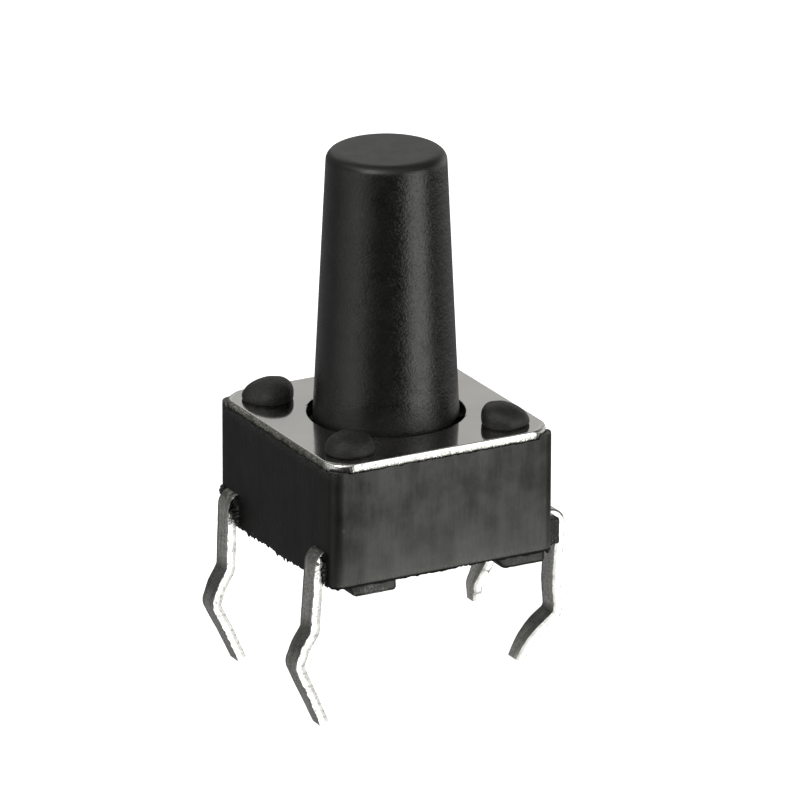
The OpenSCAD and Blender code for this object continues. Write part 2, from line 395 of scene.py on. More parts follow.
def noise(tree, vector, cells, detail, seed=0.0):
    """Noise whose cells are as many per millimetre along each axis as cells says."""
    moved = add(tree, "ShaderNodeVectorMath", {0: vector, 1: cells}, operation="MULTIPLY").outputs[0]
    shift = add(tree, "ShaderNodeVectorMath", {0: moved, 1: (seed, -seed, 2 * seed)}, operation="ADD")
    sockets = {"Vector": shift.outputs[0], "Scale": 1.0, "Detail": detail}
    return add(tree, "ShaderNodeTexNoise", sockets).outputs["Fac"]


def effect(name, inputs, outputs, build):
    """Shader node group: build gets the tree and the group's inputs by name, and returns its outputs in
    their order. Every effect has the input Place, in millimetres."""
    tree = bpy.data.node_groups.new(name, "ShaderNodeTree")
    tree.interface.new_socket("Place", in_out="INPUT", socket_type="NodeSocketVector")
    for label, value in inputs.items():
        kind = "NodeSocketVector" if isinstance(value, tuple) else "NodeSocketFloat"
        tree.interface.new_socket(label, in_out="INPUT", socket_type=kind).default_value = value
    for label in outputs:
        tree.interface.new_socket(label, in_out="OUTPUT", socket_type="NodeSocketFloat")
    entry = add(tree, "NodeGroupInput")
    leave = add(tree, "NodeGroupOutput")
    for label, result in zip(outputs, build(tree, entry.outputs)):
        tree.links.new(result, leave.inputs[label])
    return tree


# ---- effects that the materials share ----

def build_grain(tree, given):
    """Fine bumps of the size given, and clouds eight times as large."""
    per_mm = maths(tree, "DIVIDE", 1.0, given["Size"])
    fine = add(tree, "ShaderNodeTexNoise", {
        "Vector": given["Place"], "Scale": per_mm, "Detail": 3.0, "Roughness": 0.6,
    })
    broad = add(tree, "ShaderNodeTexNoise", {
        "Vector": given["Place"], "Scale": maths(tree, "DIVIDE", per_mm, 8.0), "Detail": 2.0,
    })
    return fine.outputs["Fac"], span(tree, broad.outputs["Fac"], 0.3, 0.7)


def build_streaks(tree, given):
    """Noise stretched along the way the surface was drawn: broad bands with fine lines on them."""
    broad = noise(tree, given["Place"], given["Cells"], 1.0)
    four = add(tree, "ShaderNodeVectorMath", {0: given["Cells"], 1: (4, 4, 4)}, operation="MULTIPLY")
    fine = noise(tree, given["Place"], four.outputs[0], 2.0, seed=7.3)
    return (span(tree, add_up(tree, (broad, 0.6), (fine, 0.4)), 0.32, 0.68),)


def build_specks(tree, given):
    """Torn specks: the peaks of a noise of the size given. Amount is the share of the surface."""
    per_mm = maths(tree, "DIVIDE", 1.0, given["Size"])
    field = add(tree, "ShaderNodeTexNoise", {
        "Vector": given["Place"], "Scale": per_mm, "Detail": 4.0, "Roughness": 0.7,
    })
    cut = span(tree, given["Amount"], 0.0, 1.0, 0.72, 0.3)
    above = maths(tree, "SUBTRACT", field.outputs["Fac"], cut)
    return (span(tree, above, 0.0, 0.06),)


def build_scratches(tree, given):
    """Hairlines: thin level lines of two noises stretched along slanting ways, broken by a third."""
    lines = []
    for angle, seed in ((0.6, 1.7), (-0.9, 5.1)):
        turned = add(tree, "ShaderNodeVectorRotate", {"Vector": given["Place"], "Angle": angle})
        field = noise(tree, turned.outputs[0], (0.35, 5.0, 5.0), 0.0, seed=seed)
        lines.append(maths(tree, "ABSOLUTE", maths(tree, "SUBTRACT", field, 0.5)))
    nearest = maths(tree, "MINIMUM", *lines)
    line = span(tree, nearest, 0.0, 0.012, 1.0, 0.0)
    gate = span(tree, noise(tree, given["Place"], (1.6, 1.6, 1.6), 1.0, seed=9.2), 0.52, 0.6)
    return (times(tree, line, gate),)


def build_dust(tree, given):
    """Round specks: one in each cell of the size given, some of them left out."""
    per_mm = maths(tree, "DIVIDE", 1.0, given["Size"])
    cells = add(tree, "ShaderNodeTexVoronoi", {"Vector": given["Place"], "Scale": per_mm})
    dot = span(tree, cells.outputs["Distance"], 0.06, 0.1, 1.0, 0.0)
    pick = add(tree, "ShaderNodeSeparateColor", {"Color": cells.outputs["Color"]}).outputs[0]
    return (times(tree, dot, span(tree, pick, 0.8, 0.81)),)


GRAIN = effect("moulded_grain", {"Size": 0.1}, ["Grain", "Cloud"], build_grain)
STREAKS = effect("drawn_streaks", {"Cells": (3.0, 3.0, 0.2)}, ["Streak"], build_streaks)
SPECKS = effect("torn_specks", {"Size": 0.06, "Amount": 0.3}, ["Speck"], build_specks)
SCRATCHES = effect("hairline_scratches", {}, ["Line"], build_scratches)
DUST = effect("fine_dust", {"Size": 0.6}, ["Dust"], build_dust)


class Finish:
    """A material in the making: its tree, its shader and the surface's place in millimetres."""

    def __init__(self, name, metallic=0.0, ior=1.5):
        self.material = bpy.data.materials.new(name)
        self.material.use_nodes = True
        self.tree = self.material.node_tree
        self.shader = self.tree.nodes["Principled BSDF"]
        self.shader.inputs["Metallic"].default_value = metallic
        self.shader.inputs["IOR"].default_value = ior
        coord = add(self.tree, "ShaderNodeTexCoord")
        thousand = {0: coord.outputs["Object"], 1: (1000, 1000, 1000)}
        self.place = add(self.tree, "ShaderNodeVectorMath", thousand, operation="MULTIPLY").outputs[0]
        split = add(self.tree, "ShaderNodeSeparateXYZ", {0: self.place})
        self.x, self.y, self.z = split.outputs

    def use(self, group, **inputs):
        """Outputs of a shared effect at this surface's place."""
        made = add(self.tree, "ShaderNodeGroup", node_tree=group)
        self.tree.links.new(self.place, made.inputs["Place"])
        for key, value in inputs.items():
            made.inputs[key].default_value = value
        return made.outputs

    def mark(self, label):
        """A number that the mesh's points carry."""
        return add(self.tree, "ShaderNodeAttribute", attribute_name=label).outputs["Fac"]

    def set(self, color, roughness, height=None, depth=0.0):
        """Links the colour, the roughness and the height, whose full depth is in millimetres."""
        self.tree.links.new(color, self.shader.inputs["Base Color"])
        self.tree.links.new(roughness, self.shader.inputs["Roughness"])
        if height is not None:
            sockets = {"Strength": 1.0, "Distance": depth * MM, "Height": height}
            bump = add(self.tree, "ShaderNodeBump", sockets)
            self.tree.links.new(bump.outputs[0], self.shader.inputs["Normal"])
        return self.material


# ---- materials ----

def make_housing_black():
    """Black moulding with upright draw marks, fine grain and a little dust. Its -Y face is painted paler
    towards the lower edge as light from below, painted darker beside its ends as shade, and chipped low
    down; the edge below it is a dull lip painted near black as shade. The feet are paler, with pale
    specks, mostly the -X ones. The -X face is painted darker as shade, with a speckled smear that hangs
    from the cover's edge."""
    f = Finish("housing_black", ior=1.41)
    t = f.tree
    grain = f.use(GRAIN, Size=0.07)
    streak = f.use(STREAKS, Cells=(2.4, 2.4, 0.4))["Streak"]
    speck = f.use(SPECKS, Size=0.05, Amount=0.45)["Speck"]
    tear = f.use(SPECKS, Size=0.26, Amount=0.6)["Speck"]
    dust = f.use(DUST, Size=0.9)["Dust"]
    front = span(t, f.y, -HALF + 0.2, -HALF + 0.05)
    flank = span(t, f.x, -HALF + 0.2, -HALF + 0.05)
    above = times(t, front, span(t, f.z, FOOT_H - 0.06, FOOT_H))
    # painted light: the -Y face grows paler towards its lower edge, as if lit from below
    painted_low_light = times(t, above, maths(t, "POWER", span(t, f.z, 2.2, 0.3), 2.0))
    # painted shade: the -Y face is darker, and rougher, beside its ends, where the corners turn away
    left = span(t, f.x, -HALF + 0.9, -HALF + 0.7)
    right = times(t, span(t, f.x, HALF - 1.2, HALF - 0.3), span(t, f.z, 0.9, 2.0, 0.0, 0.7))
    painted_end_shade = times(t, front, most(t, left, right))
    chips = times(t, above, span(t, f.z, FOOT_H + 0.2, FOOT_H + 0.02), 0.6)
    hang = times(t, flank, span(t, f.z, Z_TOP - 0.2, Z_TOP, 0.0, 0.4))
    # the feet are paler and carry pale specks, mostly the -X ones
    pale_feet = maths(t, "ADD", times(t, tear, span(t, grain["Grain"], 0.45, 0.6)), 0.12)
    pale_feet = times(t, pale_feet, span(t, f.z, FOOT_H - 0.06, FOOT_H - 0.11, 0.0, 0.8))
    pale_feet = times(t, pale_feet, span(t, f.x, 0.0, -1.0, 0.2, 1.0))
    # painted shade: a near-black band along the -Y face's lower edge, where the face turns under
    lip = times(t, span(t, f.z, FOOT_H + 0.05, FOOT_H + 0.02), span(t, f.z, FOOT_H - 0.06, FOOT_H - 0.03))
    lip = times(t, lip, front)
    pale = add_up(t, (streak, 0.45), (grain["Cloud"], 0.45), (painted_low_light, 0.6), (painted_end_shade, -0.12), plus=-0.15)
    color = tint(t, pale, (0.006, 0.006, 0.0058), (0.052, 0.052, 0.049))
    # painted light: the lower -Y face is lifted towards a paler grey
    color = tint(t, times(t, painted_low_light, 0.5), color, (0.11, 0.11, 0.104))
    # painted shade: the -X face is darkened almost to black
    color = tint(t, times(t, flank, 0.95), color, (0.002, 0.002, 0.002))
    torn = most(t, times(t, speck, most(t, hang, chips)), pale_feet, times(t, dust, 0.2))
    color = tint(t, torn, color, (0.2, 0.2, 0.185))
    # painted shade: the lower edge band is made near black
    color = tint(t, lip, color, (0.003, 0.003, 0.003))
    rough = add_up(
        t, (streak, -0.08), (grain["Grain"], 0.2), (grain["Cloud"], -0.1), (painted_end_shade, 0.12), (lip, 0.4),
        plus=0.35,
    )
    height = add_up(t, (streak, 1.0), (grain["Grain"], 1.0), (grain["Cloud"], 1.0))
    return f.set(color, rough, height, 0.004)


def make_melted_black():
    """Black plastic that flowed and set: satin and wrinkled."""
    f = Finish("melted_black")
    t = f.tree
    grain = f.use(GRAIN, Size=0.07)
    wrinkle = f.use(STREAKS, Cells=(3.0, 3.0, 7.0))["Streak"]
    color = tint(t, grain["Cloud"], (0.005, 0.005, 0.0048), (0.024, 0.024, 0.023))
    rough = add_up(t, (grain["Grain"], 0.2), (wrinkle, 0.05), plus=0.44)
    height = add_up(t, (grain["Grain"], 1.0), (wrinkle, 0.8))
    return f.set(color, rough, height, 0.016)


def make_flash_black():
    """Torn flash: black with paler broken specks."""
    f = Finish("flash_black")
    t = f.tree
    speck = f.use(SPECKS, Size=0.07, Amount=0.3)["Speck"]
    grain = f.use(GRAIN, Size=0.05)["Grain"]
    color = tint(t, speck, (0.018, 0.018, 0.017), (0.16, 0.16, 0.15))
    return f.set(color, add_up(t, (grain, 0.3), plus=0.4), grain, 0.02)


def make_stem_black():
    """Black moulding with a pebbled and finely pitted skin that is stretched a little sideways, a few
    pale specks and hairline scratches. The skin fades out at the top, which is duller than the side, and
    the side grows dull again towards the cover."""
    f = Finish("stem_black")
    t = f.tree
    grain = f.use(GRAIN, Size=0.056)
    smudge = f.use(STREAKS, Cells=(2.2, 2.2, 4.0))["Streak"]
    pits = f.use(SPECKS, Size=0.06, Amount=0.4)["Speck"]
    line = f.use(SCRATCHES)["Line"]
    dust = f.use(DUST, Size=1.3)["Dust"]
    side = span(t, f.z, STEM_TOP - 0.06, STEM_TOP - 0.26)
    foot = span(t, f.z, Z_COVER + 0.8, Z_COVER)
    color = tint(t, grain["Cloud"], (0.006, 0.006, 0.006), (0.013, 0.013, 0.0126))
    color = tint(t, side, (0.01, 0.01, 0.0098), color)
    marks = most(t, times(t, line, 0.04), times(t, dust, 0.3))
    color = tint(t, marks, color, (0.16, 0.16, 0.155))
    rough = add_up(
        t, (grain["Grain"], 0.14), (smudge, 0.06), (line, 0.03), (side, -0.175), (foot, 0.24),
        plus=0.31,
    )
    height = add_up(t, (grain["Grain"], 0.9), (smudge, 0.6), (pits, -0.12))
    return f.set(color, rough, times(t, height, side), 0.0098)


def make_polished_steel():
    """Cover's faces: nearly a mirror, with a faint mottle and hairlines."""
    f = Finish("polished_steel", 1.0)
    t = f.tree
    grain = f.use(GRAIN, Size=0.16)
    line = f.use(SCRATCHES)["Line"]
    color = tint(t, grain["Cloud"], (0.54, 0.53, 0.515), (0.6, 0.59, 0.572))
    rough = add_up(t, (grain["Grain"], 0.08), (grain["Cloud"], 0.03), (line, 0.1), plus=0.04)
    height = add_up(t, (grain["Grain"], 1.0), (line, 0.3))
    return f.set(color, rough, height, 0.0006)


def make_sheared_steel():
    """Cover's cut rim: upright shear marks and torn specks, with soft grey mottling low down. Along -X a
    mottled olive smear covers it and fades to black below, and the stem's hole wall is painted black as
    shade in the gap round the stem."""
    f = Finish("sheared_steel", 1.0)
    t = f.tree
    streak = f.use(STREAKS, Cells=(7.0, 7.0, 1.2))["Streak"]
    speck = f.use(SPECKS, Size=0.09, Amount=0.2)["Speck"]
    tear = f.use(SPECKS, Size=0.14, Amount=0.6)["Speck"]
    grain = f.use(GRAIN, Size=0.045)
    blotch = times(t, span(t, grain["Grain"], 0.43, 0.58), add_up(t, (grain["Cloud"], 0.8), (streak, 0.4)))
    smear = tint(t, blotch, (0.14, 0.14, 0.12), (1.0, 0.99, 0.9))
    smear = tint(t, span(t, f.z, Z_TOP - 0.02, Z_TOP + 0.18), (0.02, 0.02, 0.018), smear)
    side = span(t, f.x, -COVER_HALF + 0.25, -COVER_HALF + 0.1)
    side = times(t, side, span(t, f.y, -COVER_HALF + COVER_R - 0.12, -COVER_HALF + COVER_R))
    side = times(t, side, span(t, f.z, Z_COVER - 0.012, Z_COVER - 0.04))
    torn = times(t, tear, span(t, f.z, Z_TOP + 0.12, Z_TOP + 0.05))
    soft = times(t, span(t, grain["Grain"], 0.44, 0.54), span(t, f.z, Z_TOP + 0.26, Z_TOP + 0.08), 0.8)
    flat = add(t, "ShaderNodeVectorMath", {0: f.place, 1: (1, 1, 0)}, operation="MULTIPLY").outputs[0]
    from_axis = add(t, "ShaderNodeVectorMath", {0: flat}, operation="LENGTH").outputs["Value"]
    color = tint(t, times(t, speck, 0.5), (0.7, 0.695, 0.68), (0.1, 0.1, 0.09))
    color = tint(t, torn, color, (0.06, 0.055, 0.05))
    color = tint(t, soft, color, (0.16, 0.158, 0.15))
    color = tint(t, side, color, smear)
    # painted shade: the wall of the stem's hole is darkened to near black, as the gap round the stem
    color = tint(t, span(t, from_axis, HOLE_R + 0.25, HOLE_R + 0.15), color, (0.02, 0.017, 0.015))
    rough = add_up(t, (streak, 0.12), (speck, 0.12), (side, 0.3), plus=0.18)
    height = add_up(t, (streak, 1.0), (speck, -1.0))
    return f.set(color, rough, height, 0.004)


def make_spring_steel():
    """Snap dome: bright rolled sheet."""
    f = Finish("spring_steel", 1.0)
    t = f.tree
    streak = f.use(STREAKS, Cells=(9.0, 0.6, 0.6))["Streak"]
    line = f.use(SCRATCHES)["Line"]
    color = tint(t, streak, (0.56, 0.55, 0.53), (0.66, 0.65, 0.63))
    rough = add_up(t, (streak, 0.1), (line, 0.1), plus=0.16)
    return f.set(color, rough, streak, 0.001)


def make_tin_plate():
    """Broad faces of the leads: drawn lengthwise, finely mottled and dark along the back edge. On the -X
    pins black flash is smeared over the shoulders and the outward slope is painted dark as shade. On the
    +X pins the tail is dull, and painted dark as shade at its top, under the base, and then along its
    front."""
    f = Finish("tin_plate", 1.0)
    t = f.tree
    streak = f.use(STREAKS, Cells=(0.9, 8.0, 0.9))["Streak"]
    grain = f.use(GRAIN, Size=0.05)["Grain"]
    flash = f.use(SPECKS, Size=0.1, Amount=0.6)["Speck"]
    blotch = span(t, grain, 0.4, 0.6)
    back = maths(t, "ADD", f.mark("backward"), times(t, grain, 0.3))
    at_left = span(t, f.x, 0.0, -1.0)
    at_right = span(t, f.x, 0.0, 1.0)
    rim = times(t, span(t, back, 0.86, 1.0), 0.7)
    root = times(t, span(t, f.z, STRIP_Z - 0.38, STRIP_Z + 0.07), at_left)
    root = times(t, root, add_up(t, (flash, 0.45), plus=0.5))
    upper, lower = KNEES
    # painted shade: the -X pins are darkened along their outward slope between the knees
    slope = times(t, span(t, f.z, upper + 0.35, upper), span(t, f.z, lower - 0.5, lower), at_left, 0.7)
    # painted shade: the +X pins' tail is darkened at its top, under the base, and then along its front
    under = times(t, span(t, f.z, TAIL_TOP + 0.13, TAIL_TOP, 0.0, 0.6), at_right)
    under = times(t, under, span(t, f.z, TAIL_TOP - 1.05, TAIL_TOP - 0.35))
    front = most(t, span(t, back, 0.55, -0.2), span(t, f.z, TAIL_TOP - 0.65, TAIL_TOP - 0.35))
    under = times(t, under, front)
    tail = times(t, span(t, f.z, TAIL_TOP + 0.25, TAIL_TOP - 0.15), at_right)
    color = tint(t, add_up(t, (streak, 0.55), (blotch, 0.55)), (0.42, 0.415, 0.39), (1.0, 0.99, 0.95))
    # near black: the back edge, the black flash at the -X roots, and the painted shade of the slope and the
    # tail
    color = tint(t, most(t, rim, root, slope, under), color, (0.07, 0.07, 0.064))
    rough = add_up(t, (streak, 0.1), (blotch, 0.1), (root, 0.15), (tail, 0.2), plus=0.22)
    height = add_up(t, (streak, 1.0), (blotch, 0.6))
    return f.set(color, rough, height, 0.003)


def make_tin_edge():
    """Cut sides of the leads: bright, with a grey torn band along the inner side and soft grey mottling,
    stronger on the -X pins. Black flash lies near the -X pins' root, and the outer rim of the +X pins'
    shoulders is black."""
    f = Finish("tin_edge", 1.0)
    t = f.tree
    streak = f.use(STREAKS, Cells=(5.0, 5.0, 5.0))["Streak"]
    flash = f.use(SPECKS, Size=0.12, Amount=0.55)["Speck"]
    grain = f.use(GRAIN, Size=0.07)["Grain"]
    outward = f.mark("outward")
    mottle = times(t, span(t, grain, 0.48, 0.62), span(t, streak, 0.3, 0.7, 0.1, 0.9))
    mottle = times(t, mottle, span(t, f.x, 0.0, -1.0, 0.3, 1.0))
    torn = span(t, maths(t, "ADD", outward, times(t, grain, 0.8)), 0.5, 0.0)
    root = times(t, flash, span(t, f.z, STRIP_Z - 0.78, STRIP_Z - 0.28), span(t, f.x, 0.0, -1.0))
    rim = times(t, span(t, f.z, STRIP_Z - 0.28, STRIP_Z - 0.08), span(t, f.x, 0.0, 1.0))
    rim = times(t, rim, span(t, outward, 0.45, 0.75))
    color = tint(t, torn, (0.85, 0.84, 0.82), (0.5, 0.495, 0.485))
    color = tint(t, mottle, color, (0.27, 0.267, 0.26))
    color = tint(t, rim, color, (0.03, 0.03, 0.028))
    color = tint(t, root, color, (0.06, 0.06, 0.055))
    rough = add_up(t, (streak, 0.1), (mottle, 0.1), (torn, 0.1), plus=0.22)
    return f.set(color, rough, streak, 0.004)


housing_black = make_housing_black()
melted_black = make_melted_black()
flash_black = make_flash_black()
stem_black = make_stem_black()
polished_steel = make_polished_steel()
sheared_steel = make_sheared_steel()
spring_steel = make_spring_steel()
tin_plate = make_tin_plate()
tin_edge = make_tin_edge()


# ---- stem ----

def eared(angles, r, half_w, reach):
    """Distance from the middle of a round disc with two ears on Y, at each angle: the circle's radius,
    or where the ray leaves an ear by its end or by its side, if that is further out."""
    c = np.abs(np.cos(angles))
    s = np.abs(np.sin(angles))
    end = reach / np.maximum(s, TINY)
    side = half_w / np.maximum(c, TINY)
    return np.maximum(r, np.minimum(end, side))


def make_stem():
    """Turned profile from the nub up: each loop is a circle, apart from the flange, whose outline has
    two ears. The side leans in by the draft and meets the top in an edge radius."""
    n = 288
    t = np.linspace(0, 2 * math.pi, n, endpoint=False)
    unit = ring(1.0, n)
    flange = eared(t, FLANGE_R, EAR_HALF, EAR_REACH)[:, None]
    lean = math.radians(DRAFT)
    edge_z = STEM_TOP - STEM_EDGE_R
    edge_x = STEM_R - (edge_z - Z_COVER) * math.tan(lean) - STEM_EDGE_R / math.cos(lean)
    flange_low, flange_high = FLANGE_Z
    steps = [
        (0.5 * NUB_R, Z_NUB), (NUB_R - CHAMFER, Z_NUB), (NUB_R, Z_NUB + CHAMFER), (NUB_R, flange_low),
        (flange - CHAMFER, flange_low), (flange, flange_low + CHAMFER),
        (flange, flange_high - CHAMFER), (flange - CHAMFER, flange_high),
    ]
    for z in [flange_high, *np.linspace(flange_high + 0.1, edge_z, 40)[:-1]]:
        steps.append((STEM_R - (z - Z_COVER) * math.tan(lean), z))
    for a in np.linspace(lean, math.pi / 2, 17):
        steps.append((edge_x + STEM_EDGE_R * math.cos(a), edge_z + STEM_EDGE_R * math.sin(a)))
    for share in (0.9, 0.7, 0.4, 0.15):
        steps.append((edge_x * share, STEM_TOP))
    button = skin(stack(*[(unit * r, z) for r, z in steps]))
    make_piece("stem_button", "plunger", "stem", [button], [stem_black])


make_stem()


# ---- cover plate ----
CELL = 2 * POST_XY - COVER_HALF     # inner edge of the square round each post hole
CORNER = COVER_HALF - COVER_R       # middle of the corner arcs, the same for every inset
FLAT_IN = ROLL + 0.012              # a narrow flat band beside the die roll keeps the face's mirror true
FACE_HALF = COVER_HALF - FLAT_IN
TO_CELL = np.linspace(FACE_HALF, CELL, 11)[1:]
ARC = np.linspace(0, math.pi / 2, 25)[1:-1]
FACE, CUT = 0, 1                    # materials of the cover and the leads: broad faces and cut sides


def side_stations():
    """Places along one side of the cover, from corner arc to corner arc, with one at each cell edge."""
    outer = np.linspace(CELL, CORNER, 22)
    inner = np.linspace(-CELL, CELL, 73)
    return np.concatenate([-outer[::-1], inner[1:-1], outer])


def corner_arc(inset):
    """The cover's corner arc in the first quadrant without its two ends, drawn in by inset: several
    times as far at its middle, where the die roll is larger."""
    r = COVER_R - inset * (1 + CORNER_ROLL * np.sin(2 * ARC))
    return np.column_stack([CORNER + r * np.cos(ARC), CORNER + r * np.sin(ARC)])


def cover_outline(inset):
    """The cover's outline drawn in by inset: four sides and four corner arcs about fixed middles."""
    t = side_stations()
    side = np.column_stack([np.full(len(t), COVER_HALF - inset), t])
    one = np.concatenate([side, corner_arc(inset)])
    return np.concatenate([turn(one, k) for k in range(4)])


def cross_outline():
    """Outline of the cross round the stem: a quarter is the end of an arm and the two straights from
    there to the next arm, and it is turned three times."""
    t = side_stations()
    end = t[np.abs(t) <= CELL + TINY]
    quarter = np.concatenate([
        np.column_stack([np.full(len(end), FACE_HALF), end]),
        np.column_stack([TO_CELL, np.full(10, CELL)]),
        np.column_stack([np.full(9, CELL), TO_CELL[-2::-1]]),
    ])
    return np.concatenate([turn(quarter, k) for k in range(4)])


def cell_outline():
    """Outline of the cell round the first quadrant's post, anticlockwise from its inner corner."""
    t = side_stations()
    up = t[t >= CELL - TINY]
    return np.concatenate([
        np.column_stack([TO_CELL[::-1], np.full(10, CELL)]),
        np.column_stack([np.full(len(up), FACE_HALF), up]),
        corner_arc(FLAT_IN),
        np.column_stack([up[::-1], np.full(len(up), FACE_HALF)]),
        np.column_stack([np.full(9, CELL), TO_CELL[:-1]]),
    ])


def round_hole(outline, middle, hole_r):
    """Loops from the outline on the top face, in to the hole, down its wall and back out below: a loop
    between outline and hole is a mix of the two along each point's ray from the middle."""
    out = outline - middle
    unit = out / np.linalg.norm(out, axis=1)[:, None]
    steps = []
    for share in (1.0, 0.5):
        steps.append((middle + share * out + (1 - share) * unit * (hole_r + 0.045), Z_COVER))
    for grow, drop in ((0.045, 0), (0.03, 0), (0.01, 0.01), (0, 0.03), (0, 0.15), (0.01, 0.25)):
        steps.append((middle + unit * (hole_r + grow), Z_COVER - drop))
    return skin(stack(*steps, (outline, Z_TOP)), "open", "open", [FACE] * 3 + [CUT] * 4 + [FACE])


def cover_rim():
    """Loft from the flat face's outline over the die roll, a quarter circle that is deeper at the
    corners, and down the cut side to the outline below."""
    straight = np.ones(len(side_stations()))
    depth = ROLL * np.tile(np.append(straight, 1 + CORNER_ROLL * np.sin(2 * ARC)), 4)
    steps = [(FLAT_IN, Z_COVER), (ROLL, Z_COVER)]
    for angle in np.linspace(0, math.pi / 2, 7)[1:]:
        steps.append((ROLL * (1 - math.sin(angle)), Z_COVER - depth * (1 - math.cos(angle))))
    steps += [(0.002, Z_COVER - 0.15), (0.006, Z_TOP + 0.02), (0.02, Z_TOP), (FLAT_IN, Z_TOP)]
    return skin(stack(*[(cover_outline(inset), z) for inset, z in steps]), "open", "open", CUT)


def make_cover():
    """Top and bottom faces are five patches, each between a straight outline and a round hole: a cross
    round the stem and a cell round each post. The rim joins them."""
    parts = [round_hole(cross_outline(), np.zeros(2), HOLE_R)]
    for k in range(4):
        middle = turn(np.array([[POST_XY, POST_XY]]), k)[0]
        parts.append(round_hole(turn(cell_outline(), k), middle, POST_HOLE_R))
    parts.append(cover_rim())
    finishes = [polished_steel, sheared_steel]
    make_piece("cover_plate", "housing", "cover", parts, finishes, weld=1e-4)


make_cover()


# ---- snap dome ----

def make_dome():
    """Thin spherical sheet: the outer face from its top pole down to the rim, the rim, and the inner
    face back up. At x from the axis a face of radius r is as high as the root of r2 - x2, less the
    height of the rim over the sphere's middle."""
    rise = dome_high[2] - dome_low[2] - DOME_T
    ball = (DOME_R ** 2 + rise ** 2) / (2 * rise)
    steps = []
    for r, way in ((ball + DOME_T, 1), (ball, -1)):
        for share in np.linspace(0.04, 1, 24)[::way]:
            x = DOME_R * share
            z = math.sqrt(r ** 2 - x ** 2) - ball + rise
            steps.append((ring(x, 96), Z_FLOOR + max(z, 0)))
    sheet = skin(stack(*steps))
    dome = make_piece("dome_sheet", "housing", "snap_dome", [sheet], [spring_steel])
    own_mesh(dome)


make_dome()


# ---- lead frames ----

def bent_line(out, pin):
    """Middle line of half a strip in the XZ plane, from the housing's middle to the pin's end: straights
    joined by arcs of one radius. Gives points and headings."""
    runs, leans = pin
    runs = [out, *runs]
    heads = np.radians(np.array([90, *leans]) - 90)
    corner = np.zeros((len(runs) + 1, 2))
    for i, (run, head) in enumerate(zip(runs, heads)):
        corner[i + 1] = corner[i] + run * np.array([math.cos(head), math.sin(head)])
    points, angles = [], []
    cut = 0.0
    for i in range(len(runs)):
        last = i == len(runs) - 1
        bend = 0 if last else heads[i + 1] - heads[i]
        trim = BEND_R * math.tan(abs(bend) / 2)
        along = np.array([math.cos(heads[i]), math.sin(heads[i])])
        length = runs[i] - cut - trim
        n = max(2, round(length / (STRIP_STEP * (5 if i == 0 else 1))))
        steps = np.linspace(0, length, n + 1)[: None if last else -1]
        points.append(corner[i] + np.outer(cut + steps, along))
        angles.append(np.full(len(steps), heads[i]))
        if not last and bend:
            start = corner[i + 1] - trim * along
            side = math.copysign(1, bend)
            middle = start + side * BEND_R * np.array([-along[1], along[0]])
            m = max(3, round(abs(bend) * BEND_R / BEND_STEP))
            turned = heads[i] + bend * np.linspace(0, 1, m + 1)[:-1]
            radial = np.column_stack([np.sin(turned), -np.cos(turned)])
            points.append(middle + side * BEND_R * radial)
            angles.append(turned)
        cut = trim
    return np.concatenate(points), np.concatenate(angles)


def wander(along, rng):
    """Smooth random offsets along a line: knots at even steps, eased between by half a cosine."""
    step, size = WANDER
    knots = rng.uniform(-size, size, int(along[-1] / step) + 2)
    place = along / step
    i = place.astype(int)
    ease = (1 - np.cos(math.pi * (place - i))) / 2
    return knots[i] * (1 - ease) + knots[i + 1] * ease


def strip(left, right, y, seed, near_cut=0.0):
    """A rounded rectangle carried along the strip's middle line from the left pin's end to the right
    pin's. The back side draws in towards each end, the front side by near_cut at the right pin's end,
    and both cut sides wander a little."""
    left_line, left_heads = bent_line(SHOULDER - SHIFT_X, left)
    right_line, right_heads = bent_line(SHOULDER + SHIFT_X, right)
    line = np.concatenate([left_line[::-1] * [-1, 1], right_line[1:]])
    heads = np.concatenate([-left_heads[::-1], right_heads[1:]])
    along = np.concatenate([[0], np.cumsum(np.linalg.norm(np.diff(line, axis=0), axis=1))])
    to_end = np.minimum(along, along[-1] - along)
    u, v = rounded_rect(STRIP_T / 2, STRIP_W / 2, STRIP_EDGE_R, 6, 8, 3).T
    rng = np.random.default_rng(seed)
    taper = TIP_CUT * np.clip(1 - to_end / TIP_LEN, 0, 1)
    cut_side = np.abs(v) > STRIP_W / 2 - 0.03
    back = STRIP_W / 2 - taper + wander(along, rng)
    near = STRIP_W / 2 + wander(along, rng)
    near = near - near_cut * np.clip(1 - (along[-1] - along) / TIP_LEN, 0, 1)
    across = np.where(v > 0, v * back[:, None], v * near[:, None]) / (STRIP_W / 2)
    across = across + cut_side * rng.uniform(-CUT_ROUGH, CUT_ROUGH, across.shape)
    normal = np.column_stack([-np.sin(heads), np.cos(heads)])
    loops = np.stack([
        line[:, :1] + u * normal[:, :1],
        y + across,
        STRIP_Z + line[:, 1:] + u * normal[:, 1:],
    ], axis=-1)
    between = (v + np.roll(v, -1)) / 2
    finish = np.where(np.abs(between) > STRIP_W / 2 - 0.006, CUT, FACE)
    surface = skin(loops, finishes=np.tile(finish, (len(loops) - 1, 1)))
    marks = [np.append(np.tile(m, len(loops)), [0, 0]) for m in (2 * u / STRIP_T, 2 * v / STRIP_W)]
    return surface, marks


def make_strip_piece(name, node, surface, marks, others):
    """One lead frame. Its points carry their place across the strip from -1 to 1: "outward" through the
    metal, and "backward" over its width."""
    obj = make_piece(name, "housing", node, [surface, *others], [tin_plate, tin_edge])
    for label, values in zip(("outward", "backward"), marks):
        mark = obj.data.attributes.new(label, "FLOAT", "POINT")
        rest = np.zeros(len(obj.data.vertices) - len(values))
        mark.data.foreach_set("value", np.concatenate([values, rest]).astype(np.float32))


